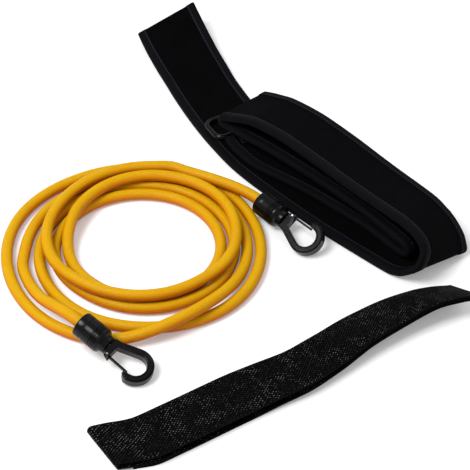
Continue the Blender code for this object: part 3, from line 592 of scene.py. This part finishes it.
def stations_along(rows, matrix):
    """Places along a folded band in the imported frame: its middle, and its directions across and out."""
    table = smooth_line(rows, BAND_STEPS)
    middles = table[:, :3]
    along = np.gradient(middles, axis=0)
    turn = np.array(matrix.to_3x3())
    move = np.array(matrix.translation)
    stations = []
    for middle, forward, (plan, fall) in zip(middles, along, np.radians(table[:, 3:])):
        across = np.array([math.cos(plan) * math.cos(fall), math.sin(plan) * math.cos(fall), -math.sin(fall)])
        stations.append((turn @ middle + move, turn @ across, turn @ unit(np.cross(forward, across))))
    return stations


def place_matrix(place, turn):
    return Matrix.Translation(shift + Vector((*place, 0))) @ Matrix.Rotation(math.radians(turn), 4, "Z")


def ring_across():
    angle = math.radians(RING_TURN + 90)
    return np.array([math.cos(angle), math.sin(angle), 0])


def ring_bar_middle():
    """The middle of the ring's held bar, in the belt's own frame."""
    middle = np.array([*RING_MIDDLE, BELT_THICKNESS + FIT + KEEPER_RADIUS])
    return middle - ring_across() * (RING_SLOT_WIDTH + RING_ROD) / 2


def belt_rows():
    """The belt's middle line from the tail to the end that holds the ring, in the belt's own frame.

    Each row is the place in roll lengths and belt widths, the height, and two angles in degrees: how far the
    direction across the belt is turned in plan, and how far it falls.
    """
    floor = BELT_THICKNESS / 2
    low = 3 * floor + FIT
    inner = INNER_FOLD_HEIGHT
    top = ROLL_HEIGHT
    rise = top - floor
    fold = inner - low
    rows = [
        (-0.633, 1.757, floor + TAIL_RISE, 66, -20),
        (-0.582, 1.667, floor + 0.76 * TAIL_RISE, 66, -16),
        (-0.530, 1.576, floor + 0.54 * TAIL_RISE, 66, -12),
        (-0.477, 1.485, floor + 0.36 * TAIL_RISE, 66, -8),
        (-0.424, 1.394, floor + 0.22 * TAIL_RISE, 66, -5),
        (-0.335, 1.245, floor + 0.09 * TAIL_RISE, 67, -2),
        (-0.248, 1.096, floor, 68, 0),
        (-0.114, 0.889, floor, 71, 0),
        (0.021, 0.716, floor, 76, 0),
        (0.170, 0.575, floor, 83, 0),
        (0.316, 0.515, floor, 86, 0),
        (0.618, 0.460, floor, 88, 0),
        (0.864, 0.474, floor, 90, 0),
        (0.930, 0.485, floor + 0.04 * rise, 86, 2.5),
        (0.978, 0.505, floor + 0.14 * rise, 82, 9),
        (1.006, 0.535, floor + 0.32 * rise, 84, 16),
        (0.998, 0.580, floor + 0.56 * rise, 90, 19),
        (0.967, 0.625, floor + 0.79 * rise, 95, 20),
        (0.914, 0.660, floor + 0.94 * rise, 96, 19),
        (0.845, 0.695, top, 95, 17),
        (0.645, 0.765, top, 90, 15),
        (0.430, 0.865, top, 90, 13),
        (0.250, 0.925, top - 0.02 * rise, 90, 12),
        (0.140, 0.920, top - 0.07 * rise, 90, 11),
        (0.080, 0.890, top - 0.15 * rise, 90, 9.5),
        (0.042, 0.868, top - 0.22 * rise, 90, 8),
        (0.020, 0.855, top - 0.26 * rise, 90, 8),
        (0.0085, 0.850, inner + 0.48 * fold, 90, 8),
        (0.005, 0.848, inner + 0.28 * fold, 90, 8),
        (0.0085, 0.846, inner + 0.08 * fold, 90, 8),
        (0.020, 0.845, inner, 90, 8),
        (0.060, 0.855, inner, 90, 7),
        (0.130, 0.870, inner, 90, 6),
        (0.236, 0.890, inner, 90, 6),
        (0.464, 0.870, inner, 90, 7),
        (0.690, 0.820, inner, 90, 7),
        (0.818, 0.770, inner, 90, 5),
        (0.868, 0.750, inner - 0.03 * fold, 90, 4),
        (0.899, 0.740, inner - 0.18 * fold, 90, 3),
        (0.911, 0.735, inner - 0.50 * fold, 90, 2),
        (0.899, 0.740, inner - 0.82 * fold, 90, 1),
        (0.868, 0.752, inner - 0.97 * fold, 90, 0),
        (0.818, 0.780, low, 90, 0),
        (0.690, 0.830, low, 90, 0),
        (0.464, 0.815, low, 89, 0),
        (0.330, 0.760, low, 85, 0),
        (0.225, 0.710, low, 80, 0),
    ]
    placed = [(along * ROLL_LENGTH, across * BELT_WIDTH, *rest) for along, across, *rest in rows]
    for before_bar in (KEEPER_FLAP + KEEPER_RADIUS, KEEPER_RADIUS):
        placed.append((*(ring_bar_middle() - ring_across() * before_bar), RING_TURN, 0))
    return placed


def binding_section():
    """The tape's section round one long edge, from its upper selvedge to its lower one."""
    edge = BELT_WIDTH / 2 - BINDING_THICKNESS / 2
    level = (BELT_THICKNESS - BINDING_THICKNESS) / 2
    start = BELT_WIDTH / 2 - BINDING_WIDTH
    corner = (edge - BINDING_CORNER, level - BINDING_CORNER)
    upper = [(start + across, level - below) for across, below in BINDING_SELVEDGE]
    upper += arc(corner, BINDING_CORNER, math.pi / 2, 0, 4)
    return upper + [(across, -out) for across, out in reversed(upper)]


def layer_section(side):
    """The section of one layer between the tapes, which swells a little in the middle."""
    half = BELT_WIDTH / 2 - BINDING_THICKNESS - FIT
    out = (FIT + LAYER_THICKNESS) / 2
    shares = np.linspace(-1, 1, 17)
    return [(half * share, side * (out + BELT_CROWN * (1 - abs(share) ** 4))) for share in shares]


def build_belt(finishes):
    matrix = place_matrix(BELT_PLACE, BELT_TURN)
    stations = stations_along(belt_rows(), matrix)
    for name, sign in (("near", -1), ("far", 1)):
        section = [(sign * across, out) for across, out in binding_section()]
        swept(
            "belt_edge_" + name, stations, section, BINDING_THICKNESS, finishes["binding"], "belt", "binding",
            "belt_binding_" + name,
        )
    face = swept(
        "belt_outer", stations, layer_section(1), LAYER_THICKNESS, finishes["face"], "belt", "belt_face",
        "belt_face",
    )
    pad = swept(
        "belt_inner", stations, layer_section(-1), LAYER_THICKNESS, finishes["pad"], "belt", "belt_pad",
        "belt_pad",
    )
    build_hook_patch(stations, finishes["hook tape"])
    hinge = ring_hinge(matrix)
    build_ring(hinge, finishes["wire"])
    build_keeper(hinge, finishes["webbing"])


def build_hook_patch(stations, material):
    """The closing patch, on the inner face at the tail's end."""
    inset = BINDING_WIDTH + FIT
    run = station_run(stations)
    picked = [station for station, along in zip(stations, run) if inset / 2 < along < HOOK_PATCH_LENGTH]
    width = BELT_WIDTH - 2 * inset
    out = -(BELT_THICKNESS / 2 - BINDING_THICKNESS + FIT + HOOK_PATCH_THICKNESS / 2)
    patch = swept(
        "closing_patch", picked, level_section(width, 8, out), HOOK_PATCH_THICKNESS, material, "belt",
        "binding", "belt_hook_patch",
    )


def ring_hinge(belt_matrix):
    """The held bar's own frame: Y along the bar, and X from it into the belt."""
    bar = Matrix.Translation(Vector(ring_bar_middle()))
    return belt_matrix @ bar @ Matrix.Rotation(math.radians(RING_TURN - 90), 4, "Z")


def rounded_rectangle(length, width, corner, steps):
    points = []
    for quarter, (sign_x, sign_y) in enumerate(((1, 1), (-1, 1), (-1, -1), (1, -1))):
        middle = (sign_x * (length / 2 - corner), sign_y * (width / 2 - corner))
        start = quarter * math.pi / 2
        points += arc(middle, corner, start, start + math.pi / 2, steps)
    return points


def build_ring(hinge, material):
    """The wire ring, which leans from its held bar down onto the tail."""
    spread = RING_SLOT_WIDTH + RING_ROD
    drop = math.asin((KEEPER_RADIUS - RING_ROD / 2) / spread)
    tilted = hinge @ Matrix.Rotation(-drop, 4, "Y")
    outline = rounded_rectangle(spread, RING_SLOT_LENGTH + RING_ROD, RING_CORNER, 10)
    line = [tilted @ Vector((x - spread / 2, y, 0)) for x, y in outline]
    curve = round_wire("wire_ring", line, RING_ROD, 6, closed=True)
    new_piece("wire_ring", curve, material, "belt_ring", "coated_steel", "belt_ring")


def build_keeper(hinge, material):
    """The webbing that goes once round the ring's bar, with both its flaps on the belt's end."""
    reach = RING_ROD / 2 + FIT + KEEPER_WEBBING / 2
    flap = BELT_THICKNESS / 2 - BINDING_THICKNESS + KEEPER_WEBBING / 2
    neck = reach + KEEPER_WEBBING
    upper = [(KEEPER_FLAP, flap), (neck + KEEPER_FLARE, flap), (neck, flap)]
    lower = [(x, -z) for x, z in reversed(upper)]
    path = upper + arc((0, 0), reach, math.pi / 2, 3 * math.pi / 2, 16) + lower
    turn = np.array(hinge.to_3x3())
    move = np.array(hinge.translation)
    bar = np.array([0, 1, 0])
    stations = [
        (turn @ np.array([x, 0, z]) + move, turn @ bar, turn @ unit(np.cross((dx, 0, dz), bar)))
        for (x, z), (dx, dz) in zip(path, np.gradient(np.array(path), axis=0))
    ]
    keeper = swept(
        "ring_keeper", stations, level_section(KEEPER_WIDTH, 8), KEEPER_WEBBING, material, "belt", "binding",
        "belt_ring_keeper",
    )


def strap_rows():
    """The strap's middle line in its own frame: lower layer, far turn, upper layer, near turn, inner lap."""
    under = STRAP_THICKNESS / 2
    over = under + STRAP_THICKNESS + STRAP_HOLLOW
    lap = under + STRAP_THICKNESS + FIT
    half = STRAP_WIDTH / 2
    shape = [
        (0.04, -0.25, 0, 1.0), (0.11, -0.70, 0, 1.0), (0.22, -0.68, 0, 1.0), (0.33, -0.64, 0, 1.0),
        (0.42, -0.70, 3, 0.9), (0.50, -0.80, 6, 0.8), (0.595, -0.55, 9, 0.65), (0.71, -0.15, 16, 0.5),
        (0.81, -0.03, 20, 0.35), (0.89, -0.17, 26, 0.25), (0.95, -0.55, 28, 0.2), (0.99, -0.95, 30, 0.15),
    ]
    lower = [
        (along * STRAP_LENGTH, aside * STRAP_BOW, under + half * math.sin(math.radians(fall)), 90, fall)
        for along, aside, fall, hollow in shape
    ]
    upper = [
        (x, y, z + STRAP_THICKNESS + hollow * STRAP_HOLLOW, plan, fall)
        for (x, y, z, plan, fall), (*rest, hollow) in reversed(list(zip(lower, shape)))
    ]
    far_x, far_y, far_z, plan, fall = lower[-1]
    far_turn = [(far_x + STRAP_THICKNESS, far_y, (far_z + upper[0][2]) / 2, plan, fall)]
    turn = STRAP_HOLLOW / 2 + STRAP_THICKNESS / 2
    near_turn = [(turn / 2, 0, over, 94, 0), (0, 0, (over + lap) / 2, 94, 0), (turn / 2, 0, lap, 94, 0)]
    inner_lap = [(x, y, lap, 90, 0) for x, y, *rest in lower[:2]]
    inner_lap.append((STRAP_LAP, lower[2][1], lap, 90, 0))
    return lower + far_turn + upper + near_turn + inner_lap


def build_strap(material):
    stations = stations_along(strap_rows(), place_matrix(STRAP_PLACE, STRAP_TURN))
    strap = swept(
        "anchor_webbing", stations, level_section(STRAP_WIDTH, 12), STRAP_THICKNESS, material, "anchor_strap",
        "webbing", "strap_loop",
    )
    round_edges(strap, 0.0004, sharp_degrees=60)


def sleeve_profile():
    """The sleeve's section as (along, radius): from the stem's hole over the nose and body to the chamber."""
    nose = SLEEVE_NOSE_RADIUS
    profile = [
        (SLEEVE_LENGTH, SLEEVE_STEM_RADIUS), (SLEEVE_LENGTH, nose - 0.0004), (SLEEVE_LENGTH - 0.0002, nose),
        (NOSE_START, nose + 0.0004), (NOSE_START - 0.0006, nose + 0.0009),
    ]
    fall = SLEEVE_RADIUS - nose - SHOULDER
    for share in TAPER_SHARES:
        profile.append((TAPER_START + share * (NOSE_START - TAPER_START), SLEEVE_RADIUS - fall * share**2))
    marks = []
    for groove in range(GROOVE_COUNT):
        front = TAPER_START - GROOVE_MARGIN - groove * GROOVE_PITCH
        marks += [(front + along, depth) for along, depth in GROOVE]
    marks += [(PLATE_END, 0), (PLATE_START, 0), *BAND, *RIM]
    profile += [(along, SLEEVE_RADIUS - depth) for along, depth in marks]
    chamber_end = SLEEVE_LENGTH - SLEEVE_FRONT_WALL
    return profile + [
        (0, SLEEVE_LIP_RADIUS), (SLEEVE_LIP, SLEEVE_LIP_RADIUS), (SLEEVE_LIP, SLEEVE_CHAMBER_RADIUS),
        (chamber_end, SLEEVE_CHAMBER_RADIUS), (chamber_end, SLEEVE_STEM_RADIUS),
    ]


def turned(profile, steps):
    """A body spun about the X axis from a closed loop of (along, radius)."""
    bm = bmesh.new()
    corners = [bm.verts.new((along, radius, 0)) for along, radius in profile]
    edges = [bm.edges.new(pair) for pair in zip(corners, corners[1:] + corners[:1])]
    bmesh.ops.spin(
        bm, geom=corners + edges, cent=(0, 0, 0), axis=(1, 0, 0), angle=2 * math.pi, steps=steps,
        use_merge=True,
    )
    bmesh.ops.remove_doubles(bm, verts=bm.verts, dist=WELD)
    bmesh.ops.recalc_face_normals(bm, faces=bm.faces)
    return bm


def raise_plate(bm):
    """One plain plate that stands out from the turned body, on its +Y side."""
    plate = []
    for face in bm.faces:
        middle = face.calc_center_median()
        near_middle = abs(math.atan2(middle.z, middle.y)) < PLATE_HALF_ANGLE
        if near_middle and PLATE_START < middle.x < PLATE_END and face.normal.y > 0:
            plate.append(face)
    bmesh.ops.inset_region(
        bm, faces=plate, thickness=PLATE_SLOPE, depth=PLATE_RISE, use_boundary=True, use_even_offset=True
    )


def build_sleeve(side, material):
    """The sleeve with its band, plate and grooves, turned so that the plate faces the camera."""
    bm = turned(sleeve_profile(), SLEEVE_FACETS)
    raise_plate(bm)
    matrix = fitting_matrix(side)
    seen = matrix.to_3x3().inverted() @ TOWARDS_CAMERA
    bm.transform(matrix @ Matrix.Rotation(math.atan2(seen.z, seen.y), 4, "X"))
    mesh = mesh_from(side + "_collar", bm, sharp_degrees=50)
    piece = new_piece(side + "_collar", mesh, material, "tether", "black_plastic", side + "_sleeve")
    round_edges(piece, 0.00012, sharp_degrees=35)


def copy_of(node):
    """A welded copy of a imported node's mesh."""
    bm = bmesh.new()
    bm.from_mesh(frame["nodes"][node].data)
    bmesh.ops.remove_doubles(bm, verts=bm.verts, dist=WELD)
    return bm


def bar_side(bm, sign):
    """The level faces on one side of the hook's bar, in the fitting's own frame."""
    level = [face for face in bm.faces if face.normal.z * sign > 0.99]
    middles = [face.calc_center_median() for face in level]
    return [
        face for face, middle in zip(level, middles)
        if middle.x > BAR_START and middle.z * sign > BAR_SIDE_HEIGHT
    ]


def corners_of(faces):
    return list(dict.fromkeys(corner for face in faces for corner in face.verts))


def join_bar_side(bm, sign):
    """Makes the side one face, without the short edges that would cross in an inset."""
    bmesh.ops.remove_doubles(bm, verts=corners_of(bar_side(bm, sign)), dist=BAR_SHORT_EDGE)
    cut = [corner for corner in corners_of(bar_side(bm, sign)) if corner.co.x < BAR_ON_CUT]
    cut.sort(key=lambda corner: corner.co.y)
    middle = (cut[0].co.y + cut[-1].co.y) / 2
    ends = {corner: cut[-1 if corner.co.y > middle else 0] for corner in cut[1:-1]}
    bmesh.ops.weld_verts(bm, targetmap=ends)
    bm.normal_update()
    return bmesh.ops.dissolve_faces(bm, faces=bar_side(bm, sign))["region"]


def inset(bm, faces, width, rise):
    bmesh.ops.inset_individual(bm, faces=faces, thickness=width, depth=rise, use_even_offset=True)
    bm.normal_update()


def build_hook(side, material):
    """The hook body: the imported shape, with rounded edges and grooves on the bar's flat sides."""
    bm = copy_of(side + "_hook")
    matrix = fitting_matrix(side)
    bm.transform(matrix.inverted())
    whole = bm.verts[:] + bm.edges[:] + bm.faces[:]
    bmesh.ops.bisect_plane(bm, geom=whole, plane_co=(BAR_START, 0, 0), plane_no=(1, 0, 0), dist=WELD)
    bm.normal_update()
    for sign in (1, -1):
        flat = join_bar_side(bm, sign)
        for width, drop in BAR_EDGE:
            border = corners_of(flat)
            inset(bm, flat, width, 0)
            for corner in border:
                if corner.co.x > BAR_ROUNDED:
                    corner.co.z -= sign * drop
            bm.normal_update()
        for width, rise in BAR_GROOVE:
            inset(bm, flat, width, rise)
    bm.transform(matrix)
    bm.normal_update()
    mesh = mesh_from(side + "_snap_hook", bm)
    piece = new_piece(side + "_snap_hook", mesh, material, side + "_hook", "black_plastic", side + "_hook")
    keep_flats(piece)


def build_gate(side, material):
    bm = copy_of(side + "_gate")
    bmesh.ops.dissolve_limit(bm, angle_limit=math.radians(1), verts=bm.verts, edges=bm.edges)
    mesh = mesh_from(side + "_snap_gate", bm)
    piece = new_piece(side + "_snap_gate", mesh, material, side + "_gate", "black_plastic", side + "_gate")
    round_edges(piece, 0.0003, sharp_degrees=50)
    keep_flats(piece)


def finish_inner_nodes(finishes):
    """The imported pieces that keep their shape: those inside the sleeves, the stems and the gates' pins."""
    for side in FITTINGS:
        for node, name in INNER_NODES.items():
            mesh = frame["nodes"][side + "_" + node].data
            mesh.materials.clear()
            mesh.materials.append(finishes[name])


def build_floor():
    """A pale floor that keeps the soft shadow and shows white."""
    bm = bmesh.new()
    bmesh.ops.create_grid(bm, x_segments=1, y_segments=1, size=FLOOR_HALF_WIDTH)
    floor = bpy.data.objects.new("floor", mesh_from("floor", bm))
    bpy.context.scene.collection.objects.link(floor)
    floor.location = (0, 0, -FLOOR_DROP)
    finish = surface("pale_floor", (0.86, 0.86, 0.86), 0.9, emission_color=(1, 1, 1))
    seen = finish.node("ShaderNodeLightPath", {}, output="Is Camera Ray")
    mirrored = finish.node("ShaderNodeLightPath", {}, output="Is Glossy Ray")
    finish.set("Emission Strength", FLOOR_GLOW * (seen + mirrored))
    floor.data.materials.append(finish.owner)


def build_lights():
    """A backdrop that lights the object softly and shows white, and two soft lamps."""
    world = bpy.data.worlds.new("studio")
    bpy.context.scene.world = world
    backdrop = Finish(world, "Background", color=(1, 1, 1))
    seen = backdrop.node("ShaderNodeLightPath", {}, output="Is Camera Ray")
    backdrop.set("Strength", BACKDROP_LIGHT + (1 - BACKDROP_LIGHT) * seen)
    for name, place, size, power in LAMPS:
        lamp = bpy.data.lights.new(name, "AREA")
        lamp.size = size
        lamp.energy = power
        holder = bpy.data.objects.new(name, lamp)
        bpy.context.scene.collection.objects.link(holder)
        holder.location = place
        holder.rotation_euler = (-Vector(place)).to_track_quat("-Z", "Y").to_euler()


def build_camera():
    camera = bpy.data.cameras.new("camera")
    camera.lens = CAMERA_LENS
    camera.sensor_width = CAMERA_SENSOR
    camera.clip_end = 20
    holder = bpy.data.objects.new("camera", camera)
    bpy.context.scene.collection.objects.link(holder)
    holder.location = Vector((shift.x, shift.y, 0)) + TOWARDS_CAMERA * CAMERA_DISTANCE
    holder.rotation_euler = (math.pi / 2 - CAMERA_ELEVATION, 0, 0)
    bpy.context.scene.camera = holder
    bpy.context.scene.view_settings.view_transform = "Standard"


build_camera()
build_floor()
build_lights()
finishes = {
    "latex": latex_finish(),
    "plastic": plastic_finish(),
    "steel": steel_finish(),
    "wire": coated_finish(),
    "face": pile_finish(),
    "pad": lining_finish(),
    "binding": binding_finish(),
    "webbing": webbing_finish(),
    "hook tape": hook_tape_finish(),
}
build_tube(finishes["latex"])
for side in FITTINGS:
    build_sleeve(side, finishes["plastic"])
    build_hook(side, finishes["plastic"])
    build_gate(side, finishes["plastic"])
finish_inner_nodes(finishes)
build_belt(finishes)
build_strap(finishes["webbing"])
